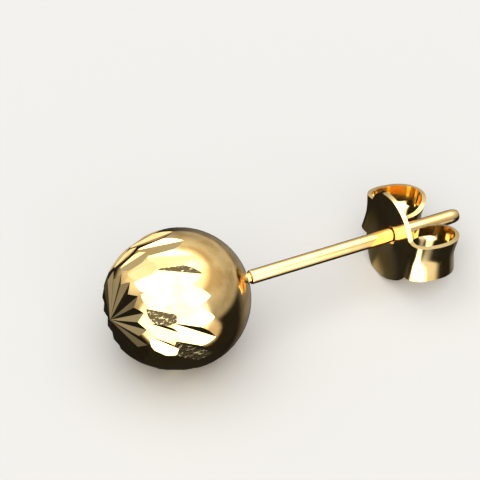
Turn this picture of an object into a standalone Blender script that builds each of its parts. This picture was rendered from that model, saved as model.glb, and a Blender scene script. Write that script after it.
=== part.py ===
"""Ball stud earring with a butterfly clutch, lying on a flat surface.

The stud is one soldered piece: a ball whose front half is cut with bright
grooves, a thin neck and a straight post. The clutch is one bent strip: a
dished plate with a hole, and a coil at each side that holds the post.

The ball's front looks to -Y and the post runs to +Y, sloping down, because
the ball is larger than the clutch that the post's end rests on. The origin
is on the surface below the middle of the whole earring.
"""

import math

import bmesh
import bpy
from mathutils import Matrix, Vector

MM = 0.001

# Ball: round behind, a little drawn out towards the pole in front
BALL_R = 3.5 * MM
FRONT_STRETCH = 1.12
BALL_FLAT = 0.20 * MM
TURN_STEPS = 72
RING_ANGLE = 4.5

# Neck and post, measured along the axis from the ball's centre
NECK_R = 0.25 * MM
NECK_FILLET = 0.12 * MM
NECK_LENGTH = 0.40 * MM
POST_R = 0.36 * MM
SHOULDER = 0.10 * MM
POST_END = 15.80 * MM
TIP_TAPER = 0.50 * MM
TIP_R = 0.20 * MM

# Star of pleats round the pole
STAR_COUNT = 16
STAR_TURN = 69.4
STAR_APEX = 1.11
STAR_VALLEY_POLAR = 36.5
STAR_RIDGE_POLAR = 30.0

# The two rows of slanting V grooves. Polar angles are from the pole, turns
# are round the axis from straight up, and walls rise from the groove's floor
# at the given slopes.
ROW_COUNT = 20
ROWS = (
    {"front": 39.0, "back": 65.5, "turn": 60.5, "slant": 15.0, "steep": 26.0, "shallow": 5.5},
    {"front": 58.5, "back": 91.5, "turn": 64.0, "slant": 19.5, "steep": 24.0, "shallow": 5.5},
)

# Clutch: where it sits, and how it leans on the post
CLUTCH_ALONG = 12.00 * MM
CLUTCH_PITCH = 12.5
CLUTCH_ROLL = 6.5
REST_FLAT = 0.06 * MM
PLATE_R = 2.20 * MM
PLATE_SQUARE = 2.1
DISH = 0.34 * MM
DIMPLE = 0.10 * MM
DIMPLE_R = 0.90 * MM
HOLE_GAP = 0.11 * MM
SHEET = 0.22 * MM
EDGE_ROUND = 0.04 * MM
LIP_FLARE = 0.15 * MM
LIP_CREASE = 0.12 * MM
GRIP_GAP = 0.10 * MM
COIL_REACH = 2.67 * MM
COIL_DEPTH = 2.28 * MM
COIL_HALF = 0.98 * MM
COIL_UNEVEN = 0.12 * MM
COIL_SWEEP = 0.25 * MM
PLATE_SIDE = 1.98 * MM
PLATE_STEPS = 10
COIL_STEPS = 3
ACROSS = 9

# One coil of the clutch, from the plate's side round to the free end. Columns:
# way out from the wall beside the post (0) to COIL_REACH (1), distance behind
# the plate as a share of COIL_DEPTH, half height as a share of COIL_HALF
COIL = (
    (0.838, -0.118, 1.02),
    (0.948, -0.018, 1.00),
    (0.995, 0.184, 1.00),
    (1.000, 0.425, 1.00),
    (0.957, 0.667, 1.00),
    (0.833, 0.877, 0.99),
    (0.624, 1.000, 0.96),
    (0.395, 1.000, 0.88),
    (0.190, 0.899, 0.76),
    (0.048, 0.737, 0.61),
    (0.000, 0.548, 0.51),
    (0.024, 0.368, 0.46),
    (0.119, 0.219, 0.43),
    (0.281, 0.149, 0.37),
)
GRIP_SIDE = POST_R + GRIP_GAP + SHEET / 2.0

GOLD = (0.83, 0.56, 0.20, 1.0)


def clear_scene():
    for obj in list(bpy.data.objects):
        bpy.data.objects.remove(obj, do_unlink=True)


def make_material(name, colour, roughness):
    material = bpy.data.materials.new(name)
    material.use_nodes = True
    shader = material.node_tree.nodes["Principled BSDF"]
    shader.inputs["Base Color"].default_value = colour
    shader.inputs["Metallic"].default_value = 1.0
    shader.inputs["Roughness"].default_value = roughness
    return material


def add_object(name, bm, material=None):
    """Turn a bmesh into an object with its faces pointing out."""
    bmesh.ops.recalc_face_normals(bm, faces=bm.faces)
    mesh = bpy.data.meshes.new(name)
    bm.to_mesh(mesh)
    bm.free()
    obj = bpy.data.objects.new(name, mesh)
    bpy.context.scene.collection.objects.link(obj)
    if material:
        mesh.materials.append(material)
    return obj


def carve(target, cutter):
    """Take the cutter away from the target, then drop the cutter."""
    cutter.hide_render = True
    cutter.display_type = "WIRE"
    modifier = target.modifiers.new("carve", "BOOLEAN")
    modifier.operation = "DIFFERENCE"
    modifier.solver = "EXACT"
    modifier.object = cutter
    bpy.context.view_layer.objects.active = target
    bpy.ops.object.modifier_apply(modifier=modifier.name)
    bpy.data.objects.remove(cutter, do_unlink=True)


def on_ball(polar, turn):
    """Point on the uncut ball. The pole is at -Y and turn 0 is at +Z."""
    p = math.radians(polar)
    t = math.radians(turn)
    stretch = FRONT_STRETCH if polar < 90.0 else 1.0
    reach = BALL_R / math.hypot(math.cos(p) / stretch, math.sin(p))
    side = reach * math.sin(p)
    return Vector((side * math.sin(t), -reach * math.cos(p), side * math.cos(t)))


def stud_profile():
    """Outline of the stud from the pole to the post's end, as (radius, y)."""
    points = []
    neck_foot = math.degrees(math.asin((NECK_R + NECK_FILLET) / BALL_R))
    steps = round(180.0 / RING_ANGLE)
    for i in range(steps):
        polar = 180.0 * i / steps
        if polar > 180.0 - neck_foot - 0.4 * RING_ANGLE:
            break
        p = on_ball(polar, 90.0)
        points.append((max(p.x, 0.0), p.y))
    foot_y = BALL_R * math.cos(math.radians(neck_foot))
    points.append((NECK_R + NECK_FILLET, foot_y))
    for i in range(1, 4):
        a = math.radians(30.0 * i)
        points.append((NECK_R + NECK_FILLET * (1.0 - math.sin(a)),
                       foot_y + NECK_FILLET * (1.0 - math.cos(a))))
    shoulder_y = BALL_R + NECK_LENGTH
    points.append((NECK_R, shoulder_y))
    for i in range(1, 4):
        a = math.radians(30.0 * i)
        points.append((NECK_R + (POST_R - NECK_R) * math.sin(a),
                       shoulder_y + SHOULDER * (1.0 - math.cos(a))))
    taper_y = POST_END - TIP_TAPER
    points.append((POST_R, taper_y))
    for i in range(1, 5):
        a = math.radians(22.5 * i)
        points.append((TIP_R + (POST_R - TIP_R) * math.cos(a),
                       taper_y + TIP_TAPER * math.sin(a)))
    points.append((0.0, POST_END))
    return points


def turned(name, profile, steps, material):
    """Spin a profile of (radius, y) pairs round the Y axis."""
    bm = bmesh.new()
    verts = [bm.verts.new((r, y, 0.0)) for r, y in profile]
    edges = [bm.edges.new(pair) for pair in zip(verts, verts[1:])]
    # half a step of turn, so that a flat of the ball and not an edge is lowest
    bmesh.ops.rotate(bm, verts=verts, cent=(0, 0, 0),
                     matrix=Matrix.Rotation(math.pi / steps, 3, "Y"))
    bmesh.ops.spin(bm, geom=verts + edges, cent=(0, 0, 0), axis=(0, 1, 0),
                   angle=math.tau, steps=steps, use_duplicate=False)
    bmesh.ops.remove_doubles(bm, verts=bm.verts, dist=1e-7)
    return add_object(name, bm, material)


def star_cutter():
    """All that lies in front of the pleated star, with its apex on the axis."""
    bm = bmesh.new()
    apex = Vector((0.0, -STAR_APEX * BALL_R, 0.0))
    tip = bm.verts.new(apex)
    far = bm.verts.new((0.0, -1.6 * BALL_R, 0.0))
    ring = []
    for i in range(2 * STAR_COUNT):
        polar = STAR_RIDGE_POLAR if i % 2 else STAR_VALLEY_POLAR
        ray = on_ball(polar, STAR_TURN + 180.0 * i / STAR_COUNT) - apex
        reach = 0.85 * BALL_R / math.hypot(ray.x, ray.z)
        ring.append(bm.verts.new(apex + reach * ray))
    for a, b in zip(ring, ring[1:] + ring[:1]):
        bm.faces.new((tip, a, b))
        bm.faces.new((far, b, a))
    return add_object("star_cutter", bm)


def groove_cutter(row, index):
    """A three-sided bar whose lowest edge is one groove's straight floor."""
    turn = row["turn"] + 360.0 * index / ROW_COUNT
    front = on_ball(row["front"], turn)
    back = on_ball(row["back"], turn + row["slant"])
    floor = (back - front).normalized()
    middle = (front + back) / 2.0
    outward = (middle - middle.dot(floor) * floor).normalized()
    # the ball is turned round +Y, so this points to larger turns
    across = floor.cross(outward).normalized()
    if across.dot(Vector((outward.z, 0.0, -outward.x))) < 0.0:
        across.negate()
    width = 0.5 * BALL_R
    steep = math.radians(row["steep"])
    shallow = math.radians(row["shallow"])
    section = (
        Vector((0.0, 0.0, 0.0)),
        width * (math.cos(shallow) * across + math.sin(shallow) * outward),
        width * (math.sin(steep) * outward - math.cos(steep) * across),
    )
    bm = bmesh.new()
    rings = []
    for end, way in ((front, -1.0), (back, 1.0)):
        centre = end + way * 0.3 * BALL_R * floor
        rings.append([bm.verts.new(centre + corner) for corner in section])
    bm.faces.new(rings[0])
    bm.faces.new(rings[1])
    for i in range(3):
        j = (i + 1) % 3
        bm.faces.new((rings[0][i], rings[0][j], rings[1][j], rings[1][i]))
    return add_object("groove_cutter", bm)


def tidy_cuts(obj, sharp):
    """Merge what the cuts left almost touching, then mark the sharp edges."""
    bm = bmesh.new()
    bm.from_mesh(obj.data)
    bmesh.ops.remove_doubles(bm, verts=bm.verts, dist=0.004 * MM)
    bmesh.ops.dissolve_degenerate(bm, edges=bm.edges, dist=0.003 * MM)
    bmesh.ops.triangulate(bm, faces=[f for f in bm.faces if len(f.verts) > 4])
    bm.to_mesh(obj.data)
    bm.free()
    obj.data.shade_smooth()
    obj.data.set_sharp_from_angle(angle=math.radians(sharp))


def make_stud(material):
    stud = turned("ball_stud", stud_profile(), TURN_STEPS, material)
    carve(stud, star_cutter())
    for row in ROWS:
        for index in range(ROW_COUNT):
            carve(stud, groove_cutter(row, index))
    return stud


def spline(rows, steps):
    """Smooth curve through rows of numbers, as a list of rows."""
    padded = [rows[0]] + list(rows) + [rows[-1]]
    out = []
    for i in range(1, len(padded) - 2):
        for k in range(steps):
            t = k / steps
            out.append(tuple(
                0.5 * (2.0 * b + (c - a) * t + (2.0 * a - 5.0 * b + 4.0 * c - d) * t * t
                       + (3.0 * b - a - 3.0 * c + d) * t ** 3)
                for a, b, c, d in zip(*padded[i - 1:i + 3])))
    out.append(tuple(rows[-1]))
    return out


def unevenness(side, mirror):
    """How far hand bending moved one side of the strip: (out, behind)."""
    share = min(1.0, max(0.0, 1.5 * (side - GRIP_SIDE) / (COIL_REACH - GRIP_SIDE)))
    if mirror > 0.0:
        return (COIL_UNEVEN * share, 0.0)
    return (-COIL_UNEVEN * share, COIL_SWEEP * share)


def strip_stations(mirror):
    """Half of the strip's middle line, from the hole to one free end.

    Each station is (side, behind, half height, share of coil section). The
    coil on the +X side reaches out a little further than the other.
    """
    stations = []
    for i in range(PLATE_STEPS + 1):
        side = PLATE_SIDE * math.sin(0.5 * math.pi * i / PLATE_STEPS)
        out, back = unevenness(side, mirror)
        half = PLATE_R * (1.0 - (side / PLATE_R) ** PLATE_SQUARE) ** (1.0 / PLATE_SQUARE)
        root = (side + out, back - DISH * (side / PLATE_R) ** 2, half)
        stations.append(root + (0.0,))
    stations.pop()
    rows = [root]
    for out_share, behind_share, half_share in COIL:
        side = GRIP_SIDE + out_share * (COIL_REACH - GRIP_SIDE)
        out, back = unevenness(side, mirror)
        rows.append((side + out, behind_share * COIL_DEPTH + back, half_share * COIL_HALF))
    for i, (side, behind, half) in enumerate(spline(rows, COIL_STEPS)):
        share = min(1.0, i / (3.0 * COIL_STEPS))
        stations.append((side, behind, half, share))
    return stations


def dimple(radius):
    """Depth of the pressed hollow round the hole."""
    if radius >= DIMPLE_R:
        return 0.0
    return 0.5 * DIMPLE * (1.0 + math.cos(math.pi * radius / DIMPLE_R))


def strip_section(station, tangent, mirror):
    """Closed loop of points round the strip at one station."""
    side, behind, half, share = station
    normal = Vector((tangent.y, -tangent.x, 0.0))
    centre = Vector((side, behind, 0.0))
    faces = {1.0: [], -1.0: []}
    for i in range(ACROSS):
        up = half * math.sin(0.5 * math.pi * (2.0 * i / (ACROSS - 1) - 1.0))
        bowl = DISH * (up / PLATE_R) ** 2
        lip = LIP_FLARE * (math.hypot(up, LIP_CREASE) - LIP_CREASE) / COIL_HALF
        lift = (1.0 - share) * bowl + share * lip
        if share == 0.0:
            lift -= dimple(math.hypot(side, up))
        for face in faces:
            point = centre + (lift + 0.5 * face * SHEET) * normal
            faces[face].append(Vector((mirror * point.x, point.y, up)))
    outer, inner = faces[1.0], faces[-1.0]
    top = (outer[-1] + inner[-1]) / 2.0 + Vector((0.0, 0.0, EDGE_ROUND))
    low = (outer[0] + inner[0]) / 2.0 - Vector((0.0, 0.0, EDGE_ROUND))
    return outer + [top] + inner[::-1] + [low]


def make_clutch(material):
    sections = []
    for mirror in (-1.0, 1.0):
        half = strip_stations(mirror)
        loops = []
        for i, station in enumerate(half):
            a = half[max(i - 1, 0)]
            b = half[min(i + 1, len(half) - 1)]
            tangent = Vector((b[0] - a[0], b[1] - a[1])).normalized()
            if i == 0:
                tangent = Vector((1.0, 0.0))
            loops.append(strip_section(station, tangent, mirror))
        sections.append(loops)
    loops = sections[0][:0:-1] + sections[1]
    bm = bmesh.new()
    rings = [[bm.verts.new(point) for point in loop] for loop in loops]
    count = len(rings[0])
    for one, two in zip(rings, rings[1:]):
        for i in range(count):
            j = (i + 1) % count
            bm.faces.new((one[i], one[j], two[j], two[i]))
    for ring in (rings[0], rings[-1]):
        for i in range(ACROSS - 1):
            j = 2 * ACROSS - i
            bm.faces.new((ring[i], ring[i + 1], ring[j - 1], ring[j]))
        bm.faces.new(ring[ACROSS - 1:ACROSS + 2])
        bm.faces.new((ring[-2], ring[-1], ring[0]))
    clutch = add_object("clutch", bm, material)
    carve(clutch, hole_cutter())
    return clutch


def hole_cutter():
    bm = bmesh.new()
    radius = POST_R + HOLE_GAP
    bmesh.ops.create_cone(bm, cap_ends=True, segments=36, radius1=radius,
                          radius2=radius, depth=3.0 * SHEET)
    turn = Matrix.Rotation(math.radians(90.0), 4, "X")
    bmesh.ops.transform(bm, matrix=turn, verts=bm.verts)
    return add_object("hole_cutter", bm)


def rest_cutter(piece, depth):
    """All that lies below the small flat that a piece rests on."""
    lean = piece.rotation_euler.to_matrix()
    low = min((lean @ v.co).z for v in piece.data.vertices) + depth
    bm = bmesh.new()
    bmesh.ops.create_cube(bm, size=4.0 * BALL_R)
    bmesh.ops.translate(bm, verts=bm.verts, vec=(0.0, 0.0, low - 2.0 * BALL_R))
    return add_object("rest_cutter", bm)


def stud_sag(stud):
    """How far the faceted ball's lowest point lies above the true ball's."""
    lean = stud.rotation_euler.to_matrix()
    return BALL_R + min((lean @ v.co).z for v in stud.data.vertices)


def place(stud, clutch):
    """Lay the earring down on its ball and on the clutch's lower edge."""
    clutch.rotation_mode = "YXZ"
    clutch.rotation_euler = (-math.radians(CLUTCH_PITCH), -math.radians(CLUTCH_ROLL), 0.0)
    carve(clutch, rest_cutter(clutch, REST_FLAT))
    tidy_cuts(clutch, 40.0)
    lean = clutch.rotation_euler.to_matrix()
    rest_height = -min((lean @ v.co).z for v in clutch.data.vertices)
    ball_height = BALL_R - BALL_FLAT
    slope = math.asin((ball_height - rest_height) / CLUTCH_ALONG)
    stud.rotation_euler = (-slope, 0.0, 0.0)
    carve(stud, rest_cutter(stud, BALL_FLAT - stud_sag(stud)))
    tidy_cuts(stud, 9.0)
    axis = Vector((0.0, math.cos(slope), -math.sin(slope)))
    ball_centre = Vector((0.0, 0.0, ball_height))
    corners = []
    for obj, centre in ((stud, ball_centre), (clutch, ball_centre + CLUTCH_ALONG * axis)):
        turn = obj.rotation_euler.to_matrix()
        corners += [turn @ v.co + centre for v in obj.data.vertices]
        obj.location = centre
    shift = Vector((
        -(min(c.x for c in corners) + max(c.x for c in corners)) / 2.0,
        -(min(c.y for c in corners) + max(c.y for c in corners)) / 2.0,
        -min(c.z for c in corners),
    ))
    stud.location += shift
    clutch.location += shift


def main():
    clear_scene()
    cut_gold = make_material("cut_gold", GOLD, 0.08)
    sheet_gold = make_material("sheet_gold", (0.80, 0.55, 0.22, 1.0), 0.12)
    stud = make_stud(cut_gold)
    clutch = make_clutch(sheet_gold)
    place(stud, clutch)


main()
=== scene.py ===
"""Looks of a gold ball stud earring with its butterfly clutch.

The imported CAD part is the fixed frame. The stud's own solid is copied, merged
and given true round and flat normals, and the clutch is bent again from finer
sheet with rounded rims. Both lie on a pale table in soft studio light.
"""

from __future__ import annotations

import logging
import math
from dataclasses import dataclass
from enum import Enum

import bpy
from mathutils import Euler, Matrix, Vector

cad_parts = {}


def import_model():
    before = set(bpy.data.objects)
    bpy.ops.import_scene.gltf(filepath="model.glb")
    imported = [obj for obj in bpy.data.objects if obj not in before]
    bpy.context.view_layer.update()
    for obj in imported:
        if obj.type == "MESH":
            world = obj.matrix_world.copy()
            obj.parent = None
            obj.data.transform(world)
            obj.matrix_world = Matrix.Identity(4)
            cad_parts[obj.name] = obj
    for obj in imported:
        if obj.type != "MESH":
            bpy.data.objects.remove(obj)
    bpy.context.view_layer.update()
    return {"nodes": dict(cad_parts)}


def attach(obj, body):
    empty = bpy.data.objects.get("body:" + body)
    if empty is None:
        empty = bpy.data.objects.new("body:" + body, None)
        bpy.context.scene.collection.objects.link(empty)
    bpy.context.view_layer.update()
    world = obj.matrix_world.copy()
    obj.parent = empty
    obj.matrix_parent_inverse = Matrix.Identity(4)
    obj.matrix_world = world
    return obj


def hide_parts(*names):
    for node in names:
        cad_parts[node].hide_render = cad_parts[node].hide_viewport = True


LOG = logging.getLogger("earring")
MM = 0.001

# How far the hole's middle on the clutch is behind the ball's centre
CLUTCH_ALONG = 12.0 * MM
# The cutting tool's marks: how the noise is stretched along them, in waves for each mm, and their slant
MARK_WAVES = (14.0, 1.2, 14.0)
TORN_WAVES = (9.0, 3.5, 9.0)
TOOL_SLANT = (math.radians(12.0), 0.0, 0.0)
# Levels of soft noise where the second gold starts and where it has taken over, in random patches and in
# the painted glints (painted highlights) on torn walls
PATCH_EDGES = (0.36, 0.66)
PAINTED_GLINT_EDGES = (0.53, 0.68)
TORN_ROUGHNESS = 0.2
# Share of the ball's half width beyond which a point belongs to its widest ring
RING_SHARE = 0.9995
# Corners this close are one corner
WELD = 0.0005 * MM
# Corners sharper than this stay sharp, in degrees
SHARP_ON_POST = 35.0
SHARP_ON_SHEET = 45.0
SHARP_RIM = 50.0


class Zone(Enum):
    """The kinds of surface on the stud, each with its own finish."""

    POLISHED = "polished_gold"
    CUT = "cut_gold"
    # Torn walls: real torn marks, with a near-black colour as painted shade and painted glints
    CHATTERED_PAINTED_SHADE = "chattered_gold_painted_shade_and_glints"
    STAR = "star_gold"
    POST = "post_gold"


class Signal:
    """A shader value that takes part in sums like a number.

    Args:
        tree: The node tree that the value belongs to.
        socket: The output socket that carries it.
    """

    def __init__(self, tree: bpy.types.NodeTree, socket: bpy.types.NodeSocket) -> None:
        self.tree = tree
        self.socket = socket

    def _maths(self, operation: str, *others: Signal | float) -> Signal:
        node = self.tree.nodes.new("ShaderNodeMath")
        node.operation = operation
        self.tree.links.new(self.socket, node.inputs[0])
        for slot, other in zip(node.inputs[1:], others):
            if isinstance(other, Signal):
                self.tree.links.new(other.socket, slot)
            else:
                slot.default_value = other
        return Signal(self.tree, node.outputs[0])

    def __add__(self, other: Signal | float) -> Signal:
        return self._maths("ADD", other)

    def __mul__(self, other: Signal | float) -> Signal:
        return self._maths("MULTIPLY", other)

    def power(self, exponent: float) -> Signal:
        """The value raised to a power."""
        return self._maths("POWER", exponent)

    def eased(self, low: float, high: float) -> Signal:
        """Zero below low, one above high, with a smooth step between."""
        node = self.tree.nodes.new("ShaderNodeMapRange")
        node.interpolation_type = "SMOOTHSTEP"
        self.tree.links.new(self.socket, node.inputs["Value"])
        node.inputs["From Min"].default_value = low
        node.inputs["From Max"].default_value = high
        return Signal(self.tree, node.outputs["Result"])

    def clamped(self) -> Signal:
        """The value held between zero and one."""
        result = self._maths("ADD", 0.0)
        result.socket.node.use_clamp = True
        return result


class Shader:
    """One Principled material under construction.

    Args:
        name: The material's name.
        colour: Base colour, linear RGB.
        roughness: Plain roughness before any variation.
    """

    def __init__(self, name: str, colour: tuple[float, float, float], roughness: float) -> None:
        self.material = bpy.data.materials.new(name)
        self.material.use_nodes = True
        self.tree = self.material.node_tree
        self.bsdf = self.tree.nodes["Principled BSDF"]
        self.bsdf.inputs["Base Color"].default_value = (*colour, 1.0)
        self.bsdf.inputs["Metallic"].default_value = 1.0
        self.bsdf.inputs["Roughness"].default_value = roughness

    def node(self, kind: str, links: dict[str, object] | None = None, **settings: object) -> bpy.types.Node:
        """Add a node.

        Args:
            kind: The node's type name.
            links: Input names with a Signal, a socket or a plain value.
            **settings: Attributes to set on the node.

        Returns:
            The new node.
        """
        made = self.tree.nodes.new(kind)
        for key, value in settings.items():
            setattr(made, key, value)
        for key, value in (links or {}).items():
            if isinstance(value, Signal):
                self.tree.links.new(value.socket, made.inputs[key])
            elif isinstance(value, bpy.types.NodeSocket):
                self.tree.links.new(value, made.inputs[key])
            else:
                made.inputs[key].default_value = value
        return made

    def place(self, stretch: tuple[float, float, float] = (1.0, 1.0, 1.0),
              turn: tuple[float, float, float] = (0.0, 0.0, 0.0)) -> bpy.types.NodeSocket:
        """Object coordinates in millimetres, stretched and turned."""
        coordinates = self.node("ShaderNodeTexCoord")
        mapping = self.node("ShaderNodeMapping", {
            "Vector": coordinates.outputs["Object"],
            "Rotation": turn,
            "Scale": tuple(s / MM for s in stretch),
        })
        return mapping.outputs["Vector"]

    def noise(self, where: bpy.types.NodeSocket, scale: float, detail: float = 2.0,
              roughness: float = 0.5) -> Signal:
        """Soft noise between zero and one."""
        made = self.node("ShaderNodeTexNoise", {
            "Vector": where, "Scale": scale, "Detail": detail, "Roughness": roughness})
        return Signal(self.tree, made.outputs["Fac"])

    def feed(self, name: str, signal: Signal) -> None:
        """Drive one of the shader's own sockets."""
        self.tree.links.new(signal.socket, self.bsdf.inputs[name])

    def tint(self, share: Signal, first: tuple[float, float, float],
             second: tuple[float, float, float]) -> None:
        """Blend the base colour between two golds."""
        mix = self.node("ShaderNodeMix", {"Factor": share}, data_type="RGBA")
        mix.inputs[6].default_value = (*first, 1.0)
        mix.inputs[7].default_value = (*second, 1.0)
        self.tree.links.new(mix.outputs[2], self.bsdf.inputs["Base Color"])

    def bump(self, height: Signal, strength: float, distance: float) -> None:
        """Raise the surface by a height given in millimetres at full strength."""
        made = self.node("ShaderNodeBump", {
            "Height": height, "Strength": strength, "Distance": distance * MM})
        self.tree.links.new(made.outputs["Normal"], self.bsdf.inputs["Normal"])


@dataclass(frozen=True)
class GoldFinish:
    """How one kind of gold surface looks.

    Attributes:
        name: Material name.
        colour: Main linear colour.
        second: Colour that soft patches drift to; on a torn wall, the colour of its painted glints.
        roughness: Lowest roughness.
        smear: Roughness added where handling dulled the polish.
        ripple: Height of soft unevenness, in mm.
        ripple_scale: Waves of that unevenness for each mm.
        marks: Height of the cutting tool's fine parallel marks, in mm.
        chatter: Height of the coarse torn marks on a badly cut wall, in mm; when set, the colour becomes
            painted shade with painted glints.
    """

    name: str
    colour: tuple[float, float, float]
    second: tuple[float, float, float]
    roughness: float
    smear: float
    ripple: float
    ripple_scale: float
    marks: float = 0.0
    chatter: float = 0.0

    def build(self) -> bpy.types.Material:
        """Make the material.

        Returns:
            The finished material.
        """
        shader = Shader(self.name, self.colour, self.roughness)
        where = shader.place()
        patches = shader.noise(where, 0.9, 3.0)
        if not self.chatter:
            shader.tint(patches.eased(*PATCH_EDGES), self.colour, self.second)
        wear = shader.noise(where, 2.6, 4.0, 0.6).power(2.0)
        rough = wear * self.smear + self.roughness
        height = shader.noise(where, self.ripple_scale, 1.0) * self.ripple
        if self.marks:
            lines = shader.place(MARK_WAVES, TOOL_SLANT)
            height = height + shader.noise(lines, 1.0, 2.0) * self.marks
        if self.chatter:
            torn = shader.place(TORN_WAVES, TOOL_SLANT)
            torn_marks_and_glint_mask = shader.noise(torn, 1.0, 3.0, 0.65)
            height = height + torn_marks_and_glint_mask * self.chatter
            rough = rough + torn_marks_and_glint_mask * TORN_ROUGHNESS
            # Painted highlights: bright glints painted where the torn marks rise, over a base colour
            # painted dark as shade
            shader.tint(torn_marks_and_glint_mask.eased(*PAINTED_GLINT_EDGES), self.colour, self.second)
        shader.feed("Roughness", rough.clamped())
        shader.bump(height, 1.0, 1.0)
        return shader.material


FINISHES = {
    Zone.POLISHED: GoldFinish(
        "polished_gold", (0.95, 0.67, 0.28), (0.70, 0.43, 0.15), roughness=0.08, smear=0.12,
        ripple=0.0050, ripple_scale=1.1),
    Zone.CUT: GoldFinish(
        "cut_gold", (0.96, 0.72, 0.33), (0.93, 0.66, 0.26), roughness=0.04, smear=0.05,
        ripple=0.0006, ripple_scale=1.6, marks=0.0002),
    # Torn walls: the base colour is painted shade, near black; the second colour is painted glints (painted
    # highlights)
    Zone.CHATTERED_PAINTED_SHADE: GoldFinish(
        "chattered_gold_painted_shade_and_glints", (0.055, 0.042, 0.020), (0.62, 0.50, 0.27), roughness=0.12, smear=0.10,
        ripple=0.0008, ripple_scale=1.6, marks=0.0004, chatter=0.030),
    Zone.STAR: GoldFinish(
        "star_gold", (0.72, 0.55, 0.27), (0.62, 0.47, 0.22), roughness=0.07, smear=0.06,
        ripple=0.0006, ripple_scale=1.6, marks=0.0003),
    Zone.POST: GoldFinish(
        "post_gold", (0.90, 0.62, 0.27), (0.87, 0.55, 0.20), roughness=0.13, smear=0.12,
        ripple=0.0012, ripple_scale=1.8, marks=0.0005),
}
SHEET_FINISH = GoldFinish(
    "sheet_gold", (0.93, 0.71, 0.34), (0.90, 0.61, 0.21), roughness=0.09, smear=0.10,
    ripple=0.0012, ripple_scale=1.3, marks=0.0002)


@dataclass(frozen=True)
class GrooveRow:
    """One ring of slanting V grooves, with angles in degrees.

    Attributes:
        front: Angle of the grooves' front ends from the pole.
        back: Angle of their back ends from the pole.
        turn: Place of the first groove round the ball, from the top.
        slant: How much further round its back end is.
        steep: Lean of the narrow wall.
        shallow: Lean of the wide wall.
    """

    front: float
    back: float
    turn: float
    slant: float
    steep: float
    shallow: float


@dataclass(frozen=True)
class Wall:
    """One flat wall that the cutter left.

    Attributes:
        normal: Outward normal in the stud's own axes.
        offset: Distance of the wall's plane from the ball's centre.
        zone: The wall's finish.
    """

    normal: Vector
    offset: float
    zone: Zone


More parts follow.
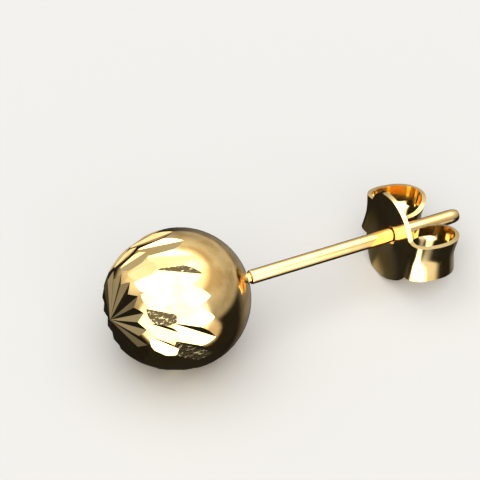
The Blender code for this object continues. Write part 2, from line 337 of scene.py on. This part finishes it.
@dataclass
class Stud:
    """The soldered ball, neck and post, in its own axes: pole to -Y.

    Attributes:
        radius: Radius of the ball.
        stretch: How far the front half is drawn out.
        slope: How far the post slopes down, in degrees.
        foot: Depth of the flat that the ball rests on.
        rows: The two rings of grooves.
        row_count: Grooves in each ring.
        star_polar: Angle from the pole that the star's pleats stay within.
        star_depth: Depth under the uncut ball that tells a pleat from the plain ball.
        post_start: Share of the radius behind which all is neck and post.
        wall_angle: How far a face may lean from its wall, as a length of the difference.
        wall_gap: How far it may lie from its wall's plane.
        chattered: Walls that the cutter tore, as row, wall and place round the ball; their colour is
            painted shade with painted glints.
        chatter_reach: How far from that place a torn wall may be.
    """

    radius: float = 3.5 * MM
    stretch: float = 1.12
    slope: float = 5.953071
    foot: float = 0.20 * MM
    rows: tuple[GrooveRow, ...] = (
        GrooveRow(39.0, 65.5, 60.5, 15.0, 26.0, 5.5),
        GrooveRow(58.5, 91.5, 64.0, 19.5, 24.0, 5.5),
    )
    row_count: int = 20
    star_polar: float = 38.0
    star_depth: float = 0.012 * MM
    post_start: float = 0.995
    wall_angle: float = 0.02
    wall_gap: float = 0.006 * MM
    chattered: tuple[tuple[int, str, float], ...] = (
        (0, "shallow", 50.0), (1, "steep", 18.0), (1, "shallow", 95.0),
    )
    chatter_reach: float = 9.0

    def turn(self) -> Matrix:
        """Rotation from the stud's own axes to the row frame."""
        return Matrix.Rotation(-math.radians(self.slope), 3, "X")

    def centre_of(self, mesh: bpy.types.Mesh) -> Vector:
        """Find the ball's centre from the widest ring of the CAD solid.

        Args:
            mesh: The stud's mesh in the row frame.

        Returns:
            The centre in the row frame.
        """
        widest = max(v.co.x for v in mesh.vertices)
        ring = [v.co.y for v in mesh.vertices if abs(v.co.x) > RING_SHARE * widest]
        return Vector((0.0, sum(ring) / len(ring), self.radius - self.foot))

    def on_ball(self, polar: float, turn: float) -> Vector:
        """Point on the uncut ball, with turn 0 at +Z."""
        p = math.radians(polar)
        t = math.radians(turn)
        stretch = self.stretch if polar < 90.0 else 1.0
        reach = self.radius / math.hypot(math.cos(p) / stretch, math.sin(p))
        side = reach * math.sin(p)
        return Vector((side * math.sin(t), -reach * math.cos(p), side * math.cos(t)))

    def round_normal(self, point: Vector) -> Vector:
        """Normal of the uncut ball at a point."""
        squash = self.stretch ** 2 if point.y < 0.0 else 1.0
        return Vector((point.x, point.y / squash, point.z)).normalized()

    def walls(self) -> list[Wall]:
        """Every groove wall, worked out as the cutter was set."""
        found = []
        for number, row in enumerate(self.rows):
            for index in range(self.row_count):
                turn = row.turn + 360.0 * index / self.row_count
                front = self.on_ball(row.front, turn)
                back = self.on_ball(row.back, turn + row.slant)
                floor = (back - front).normalized()
                middle = (front + back) / 2.0
                outward = (middle - middle.dot(floor) * floor).normalized()
                across = floor.cross(outward).normalized()
                if across.dot(Vector((outward.z, 0.0, -outward.x))) < 0.0:
                    across.negate()
                for kind, way, angle in (("shallow", 1.0, row.shallow), ("steep", -1.0, row.steep)):
                    a = math.radians(angle)
                    normal = (math.cos(a) * outward - way * math.sin(a) * across).normalized()
                    torn = self.is_torn(number, kind, turn + row.slant / 2.0)
                    found.append(Wall(normal, normal.dot(front), Zone.CHATTERED_PAINTED_SHADE if torn else Zone.CUT))
        return found

    def is_torn(self, number: int, kind: str, turn: float) -> bool:
        """Tell whether the cutter tore the wall of one groove.

        Args:
            number: The groove's row.
            kind: Which of its two walls.
            turn: The groove's place round the ball.

        Returns:
            Whether it is one of the chattered walls.
        """
        for row, wall, place in self.chattered:
            away = abs((turn - place + 180.0) % 360.0 - 180.0)
            if row == number and wall == kind and away < self.chatter_reach:
                return True
        return False

    def zone_of(self, corners: list[Vector], normal: Vector, walls: list[Wall]) -> Zone:
        """Tell what kind of surface one face is.

        Args:
            corners: The face's corners in the stud's own axes.
            normal: The face's normal in the same axes.
            walls: The groove walls.

        Returns:
            The face's zone.
        """
        centre = sum(corners, Vector()) / len(corners)
        if centre.y > self.radius * self.post_start:
            return Zone.POST
        best = min(walls, key=lambda wall: (wall.normal - normal).length)
        lean = (best.normal - normal).length
        gap = abs(best.normal.dot(centre) - best.offset)
        if lean < self.wall_angle and gap < self.wall_gap:
            return best.zone
        polar = math.degrees(math.atan2(math.hypot(centre.x, centre.z), -centre.y))
        depth = self.on_ball(polar, 0.0).length - centre.length
        if polar < self.star_polar and depth > self.star_depth:
            return Zone.STAR
        return Zone.POLISHED

    def dress(self, source: bpy.types.Object) -> bpy.types.Object:
        """Copy the CAD solid, merge it and give each face its finish and true normals.

        Args:
            source: The CAD node.

        Returns:
            The new piece.
        """
        piece = copy_merged(source, "stud_dressed")
        mesh = piece.data
        centre = self.centre_of(mesh)
        outward = self.turn()
        inward = outward.inverted()
        walls = self.walls()
        zones = list(Zone)
        mesh.materials.clear()
        for zone in zones:
            mesh.materials.append(FINISHES[zone].build())
        mesh.shade_smooth()
        mesh.set_sharp_from_angle(angle=math.radians(SHARP_ON_POST))
        normals = [Vector(corner.vector) for corner in mesh.corner_normals]
        counts = dict.fromkeys(zones, 0)
        for face in mesh.polygons:
            corners = [inward @ (mesh.vertices[i].co - centre) for i in face.vertices]
            zone = self.zone_of(corners, inward @ face.normal, walls)
            face.material_index = zones.index(zone)
            counts[zone] += 1
            if zone is Zone.POST:
                continue
            for loop, corner in zip(face.loop_indices, corners):
                if zone is Zone.POLISHED:
                    normals[loop] = outward @ self.round_normal(corner)
                else:
                    normals[loop] = face.normal.copy()
        mesh.normals_split_custom_set(normals)
        LOG.info("faces by zone: %s", {zone.name: count for zone, count in counts.items()})
        return piece


@dataclass
class Clutch:
    """Butterfly clutch: one strip, a dished plate with a coil at each side.

    Lengths are the CAD part's own, and the sheet is only divided more finely. Coil rows
    are shares of the way out to the reach, of the depth and of the half width.
    """

    pitch: float = 12.5
    roll: float = 6.5
    plate_radius: float = 2.20 * MM
    plate_square: float = 2.1
    plate_side: float = 1.98 * MM
    dish: float = 0.34 * MM
    dimple: float = 0.10 * MM
    dimple_radius: float = 0.90 * MM
    hole_radius: float = 0.47 * MM
    sheet: float = 0.22 * MM
    lip_flare: float = 0.15 * MM
    lip_crease: float = 0.12 * MM
    grip_side: float = 0.57 * MM
    coil_reach: float = 2.67 * MM
    coil_depth: float = 2.28 * MM
    coil_half: float = 0.98 * MM
    uneven: float = 0.12 * MM
    sweep: float = 0.25 * MM
    plate_steps: int = 26
    coil_steps: int = 7
    across: int = 24
    rim_width: float = 0.075 * MM
    rim_segments: int = 4
    hole_sides: int = 72
    coil: tuple[tuple[float, float, float], ...] = (
        (0.838, -0.118, 1.02), (0.948, -0.018, 1.00), (0.995, 0.184, 1.00), (1.000, 0.425, 1.00),
        (0.957, 0.667, 1.00), (0.833, 0.877, 0.99), (0.624, 1.000, 0.96), (0.395, 1.000, 0.88),
        (0.190, 0.899, 0.76), (0.048, 0.737, 0.61), (0.000, 0.548, 0.51), (0.024, 0.368, 0.46),
        (0.119, 0.219, 0.43), (0.281, 0.149, 0.37),
    )

    def unevenness(self, side: float, mirror: float) -> tuple[float, float]:
        """How far hand bending moved one side of the strip, out and behind."""
        share = min(1.0, max(0.0, 1.5 * (side - self.grip_side) / (self.coil_reach - self.grip_side)))
        if mirror > 0.0:
            return (self.uneven * share, 0.0)
        return (-self.uneven * share, self.sweep * share)

    def stations(self, mirror: float) -> list[tuple[float, float, float, float]]:
        """Middle line from the hole to one free end, as (side, behind, half height, coil share)."""
        found = []
        root = (0.0, 0.0, self.plate_radius)
        for i in range(self.plate_steps + 1):
            side = self.plate_side * math.sin(0.5 * math.pi * i / self.plate_steps)
            out, back = self.unevenness(side, mirror)
            fill = 1.0 - (side / self.plate_radius) ** self.plate_square
            half = self.plate_radius * fill ** (1.0 / self.plate_square)
            root = (side + out, back - self.dish * (side / self.plate_radius) ** 2, half)
            found.append((*root, 0.0))
        found.pop()
        rows = [root]
        for out_share, behind_share, half_share in self.coil:
            side = self.grip_side + out_share * (self.coil_reach - self.grip_side)
            out, back = self.unevenness(side, mirror)
            rows.append((side + out, behind_share * self.coil_depth + back, half_share * self.coil_half))
        for i, row in enumerate(smooth_curve(rows, self.coil_steps)):
            found.append((*row, min(1.0, i / (3.0 * self.coil_steps))))
        return found

    def point(self, station: tuple[float, float, float, float], tangent: Vector, v: float) -> Vector:
        """A point of the sheet's middle surface.

        Args:
            station: Side, behind, half height and coil share.
            tangent: The strip's direction there.
            v: Place across the strip, from -1 to 1.

        Returns:
            The point for the coil at +X, in the clutch's own axes.
        """
        side, behind, half, share = station
        up = half * math.sin(0.5 * math.pi * v)
        bowl = self.dish * (up / self.plate_radius) ** 2
        lip = self.lip_flare * (math.hypot(up, self.lip_crease) - self.lip_crease) / self.coil_half
        lift = (1.0 - share) * bowl + share * lip
        radius = math.hypot(side, up)
        if share == 0.0 and radius < self.dimple_radius:
            lift -= 0.5 * self.dimple * (1.0 + math.cos(math.pi * radius / self.dimple_radius))
        return Vector((side + lift * tangent.y, behind - lift * tangent.x, up))

    def columns(self) -> list[list[Vector]]:
        """The whole strip's middle surface, one list of points for each station."""
        halves = []
        for mirror in (-1.0, 1.0):
            half = self.stations(mirror)
            lines = []
            for i, station in enumerate(half):
                before = half[max(i - 1, 0)]
                after = half[min(i + 1, len(half) - 1)]
                tangent = Vector((after[0] - before[0], after[1] - before[1])).normalized()
                if i == 0:
                    tangent = Vector((1.0, 0.0))
                line = []
                for k in range(self.across + 1):
                    point = self.point(station, tangent, 2.0 * k / self.across - 1.0)
                    line.append(Vector((mirror * point.x, point.y, point.z)))
                lines.append(line)
            halves.append(lines)
        return halves[0][:0:-1] + halves[1]

    def build(self, centre: Vector) -> bpy.types.Object:
        """Bend the strip, thicken it, punch its hole and round its rims.

        Args:
            centre: Where the hole's middle is in the row frame.

        Returns:
            The new piece.
        """
        lines = self.columns()
        bpy.ops.object.select_all(action="DESELECT")
        bpy.ops.mesh.primitive_grid_add(x_subdivisions=len(lines) - 1, y_subdivisions=self.across, size=2.0)
        piece = bpy.context.object
        piece.name = "clutch_dressed"
        lean = Euler((-math.radians(self.pitch), -math.radians(self.roll), 0.0), "YXZ").to_matrix()
        for vertex in piece.data.vertices:
            i = round((vertex.co.x + 1.0) / 2.0 * (len(lines) - 1))
            k = round((vertex.co.y + 1.0) / 2.0 * self.across)
            vertex.co = centre + lean @ lines[i][k]
        thick = piece.modifiers.new("sheet", "SOLIDIFY")
        thick.thickness = self.sheet
        thick.offset = 0.0
        thick.use_even_offset = True
        self.punch(piece, centre, lean)
        rim = piece.modifiers.new("rim", "BEVEL")
        rim.width = self.rim_width
        rim.segments = self.rim_segments
        rim.limit_method = "ANGLE"
        rim.angle_limit = math.radians(SHARP_RIM)
        rim.harden_normals = False
        piece.data.materials.append(SHEET_FINISH.build())
        activate(piece)
        bpy.ops.object.shade_smooth_by_angle(angle=math.radians(SHARP_ON_SHEET))
        return piece

    def punch(self, piece: bpy.types.Object, centre: Vector, lean: Matrix) -> None:
        """Cut the hole for the post through the thickened sheet, and flatten the edge it rests on."""
        bpy.ops.mesh.primitive_cylinder_add(
            vertices=self.hole_sides, radius=self.hole_radius, depth=4.0 * self.sheet)
        punch = bpy.context.object
        punch.name = "hole_punch"
        upright = Matrix.Rotation(math.radians(90.0), 3, "X")
        for vertex in punch.data.vertices:
            vertex.co = centre + lean @ (upright @ vertex.co)
        activate(piece)
        for modifier in list(piece.modifiers):
            bpy.ops.object.modifier_apply(modifier=modifier.name)
        cut = piece.modifiers.new("hole", "BOOLEAN")
        cut.object = punch
        cut.operation = "DIFFERENCE"
        bpy.ops.object.modifier_apply(modifier=cut.name)
        bpy.data.objects.remove(punch, do_unlink=True)
        for vertex in piece.data.vertices:
            vertex.co.z = max(vertex.co.z, 0.0)


@dataclass(frozen=True)
class Glow:
    """A soft round patch of light on the studio's walls.

    Attributes:
        azimuth: Direction round the object, 0 at -Y and 90 at +X.
        elevation: Height above the horizon, in degrees.
        inner: Angle from its middle to where it starts to fade.
        outer: Angle from its middle to its edge.
        strength: Brightness.
    """

    azimuth: float
    elevation: float
    inner: float
    outer: float
    strength: float


GLOWS = (
    Glow(0.0, 90.0, 30.0, 50.0, 2.4),
    Glow(60.0, 12.0, 43.0, 54.0, 2.6),
    Glow(300.0, 40.0, 20.0, 42.0, 0.5),
    Glow(320.0, -4.0, 8.0, 30.0, 0.05),
    Glow(50.0, -22.0, 15.0, 23.0, 1.2),
    Glow(100.0, -22.0, 16.0, 26.0, 1.0),
    Glow(205.0, -20.0, 12.0, 42.0, 0.26),
)
# Height of the direction as a sine, from and to, and the light gained between
STEPS = ((-0.20, -0.02, 0.42), (0.05, 0.70, 0.44))


@dataclass
class Studio:
    """The pale table, the room's light and the camera.

    Attributes:
        azimuth: Camera direction round the object, 0 looks along +Y.
        elevation: Camera height above the horizon, in degrees.
        frame_width: What the picture's width covers, in metres.
        aim_right: Middle of the picture right of the ball's centre.
        aim_up: Middle of the picture above the ball's centre, along the picture.
        lens: Focal length in millimetres, long because the photograph was taken from afar.
        gloom: Light that comes from everywhere.
        table_size: Width of the table.
        table_gap: How far the table lies under the earring.
    """

    azimuth: float = 61.4
    elevation: float = 44.8
    frame_width: float = 23.49 * MM
    aim_right: float = 2.94 * MM
    aim_up: float = 2.87 * MM
    lens: float = 500.0
    gloom: float = 0.02
    table_size: float = 1.2
    table_gap: float = 0.01 * MM

    def build(self, ball: Vector) -> None:
        """Set up the whole studio round the ball's centre."""
        self.table()
        self.lights()
        self.camera(ball)

    def table(self) -> None:
        """Lay a plain pale surface under the earring."""
        bpy.ops.mesh.primitive_plane_add(size=self.table_size)
        table = bpy.context.object
        table.name = "table"
        shader = Shader("pale_table", (0.36, 0.36, 0.355), 0.6)
        shader.bsdf.inputs["Metallic"].default_value = 0.0
        table.data.materials.append(shader.material)
        for vertex in table.data.vertices:
            vertex.co.z -= self.table_gap
        table.visible_glossy = False  # The photographed table was dark, and the gold mirrors it

    def lights(self) -> None:
        """Light the room softly: a bright ceiling, a window and paler walls above than below."""
        world = bpy.data.worlds.new("room")
        bpy.context.scene.world = world
        world.use_nodes = True
        tree = world.node_tree
        background = tree.nodes["Background"]
        coordinates = tree.nodes.new("ShaderNodeTexCoord")
        towards = coordinates.outputs["Generated"]
        split = tree.nodes.new("ShaderNodeSeparateXYZ")
        tree.links.new(towards, split.inputs[0])
        height = Signal(tree, split.outputs["Z"])
        light = height * 0.0 + self.gloom
        for low, high, gain in STEPS:
            light = light + height.eased(low, high) * gain
        for glow in GLOWS:
            dot = tree.nodes.new("ShaderNodeVectorMath")
            dot.operation = "DOT_PRODUCT"
            tree.links.new(towards, dot.inputs[0])
            dot.inputs[1].default_value = direction(glow.azimuth, glow.elevation)
            near = Signal(tree, dot.outputs["Value"])
            edges = (math.cos(math.radians(glow.outer)), math.cos(math.radians(glow.inner)))
            light = light + near.eased(*edges) * glow.strength
        tree.links.new(light.socket, background.inputs["Strength"])
        background.inputs["Color"].default_value = (1.0, 0.985, 0.96, 1.0)
        bpy.context.scene.view_settings.view_transform = "Standard"

    def camera(self, ball: Vector) -> None:
        """Point the camera as the photograph was taken."""
        back = direction(self.azimuth, self.elevation)
        right = Vector((0.0, 0.0, 1.0)).cross(back).normalized()
        up = back.cross(right)
        data = bpy.data.cameras.new("camera")
        data.lens = self.lens
        data.sensor_width = 36.0
        distance = self.frame_width * self.lens / data.sensor_width
        camera = bpy.data.objects.new("camera", data)
        bpy.context.scene.collection.objects.link(camera)
        camera.rotation_mode = "QUATERNION"
        camera.location = ball + self.aim_right * right + self.aim_up * up + back * distance
        camera.rotation_quaternion = (-back).to_track_quat("-Z", "Y")
        data.clip_start = 0.01
        data.clip_end = 10.0
        bpy.context.scene.camera = camera


def direction(azimuth: float, elevation: float) -> Vector:
    """Unit vector towards a place round the object, 0 being at -Y and 90 at +X."""
    a = math.radians(azimuth)
    e = math.radians(elevation)
    return Vector((math.sin(a) * math.cos(e), -math.cos(a) * math.cos(e), math.sin(e)))


def smooth_curve(rows: list[tuple[float, ...]], steps: int) -> list[tuple[float, ...]]:
    """Smooth curve through rows of numbers.

    Args:
        rows: The rows to pass through.
        steps: Points for each stretch between two rows.

    Returns:
        The curve's rows.
    """
    padded = [rows[0], *rows, rows[-1]]
    out = []
    for i in range(1, len(padded) - 2):
        for k in range(steps):
            t = k / steps
            out.append(tuple(
                0.5 * (2.0 * b + (c - a) * t + (2.0 * a - 5.0 * b + 4.0 * c - d) * t * t
                       + (3.0 * b - a - 3.0 * c + d) * t ** 3)
                for a, b, c, d in zip(*padded[i - 1:i + 3])))
    out.append(tuple(rows[-1]))
    return out


def activate(piece: bpy.types.Object) -> None:
    """Make one object the only selected one and the active one."""
    bpy.ops.object.select_all(action="DESELECT")
    piece.select_set(True)
    bpy.context.view_layer.objects.active = piece


def copy_merged(source: bpy.types.Object, name: str) -> bpy.types.Object:
    """Copy a CAD node as a free object and join its loose triangles."""
    piece = source.copy()
    piece.data = source.data.copy()
    piece.name = name
    piece.parent = None
    for key in list(piece.keys()):
        del piece[key]
    bpy.context.scene.collection.objects.link(piece)
    activate(piece)
    bpy.ops.object.mode_set(mode="EDIT")
    bpy.ops.mesh.select_all(action="SELECT")
    bpy.ops.mesh.remove_doubles(threshold=WELD)
    bpy.ops.object.mode_set(mode="OBJECT")
    return piece


def main() -> None:
    """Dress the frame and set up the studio."""
    logging.basicConfig(level=logging.INFO)
    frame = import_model()
    nodes = frame["nodes"]
    stud = Stud()
    source = nodes["ball_stud"]
    ball = stud.centre_of(source.data)
    dressed = stud.dress(source)
    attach(dressed, "stud")
    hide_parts("ball_stud")
    clutch = Clutch()
    along = stud.turn() @ Vector((0.0, CLUTCH_ALONG, 0.0))
    bent = clutch.build(ball + along)
    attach(bent, "butterfly_clutch")
    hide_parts("clutch")
    Studio().build(ball)


if __name__ == "__main__":
    main()
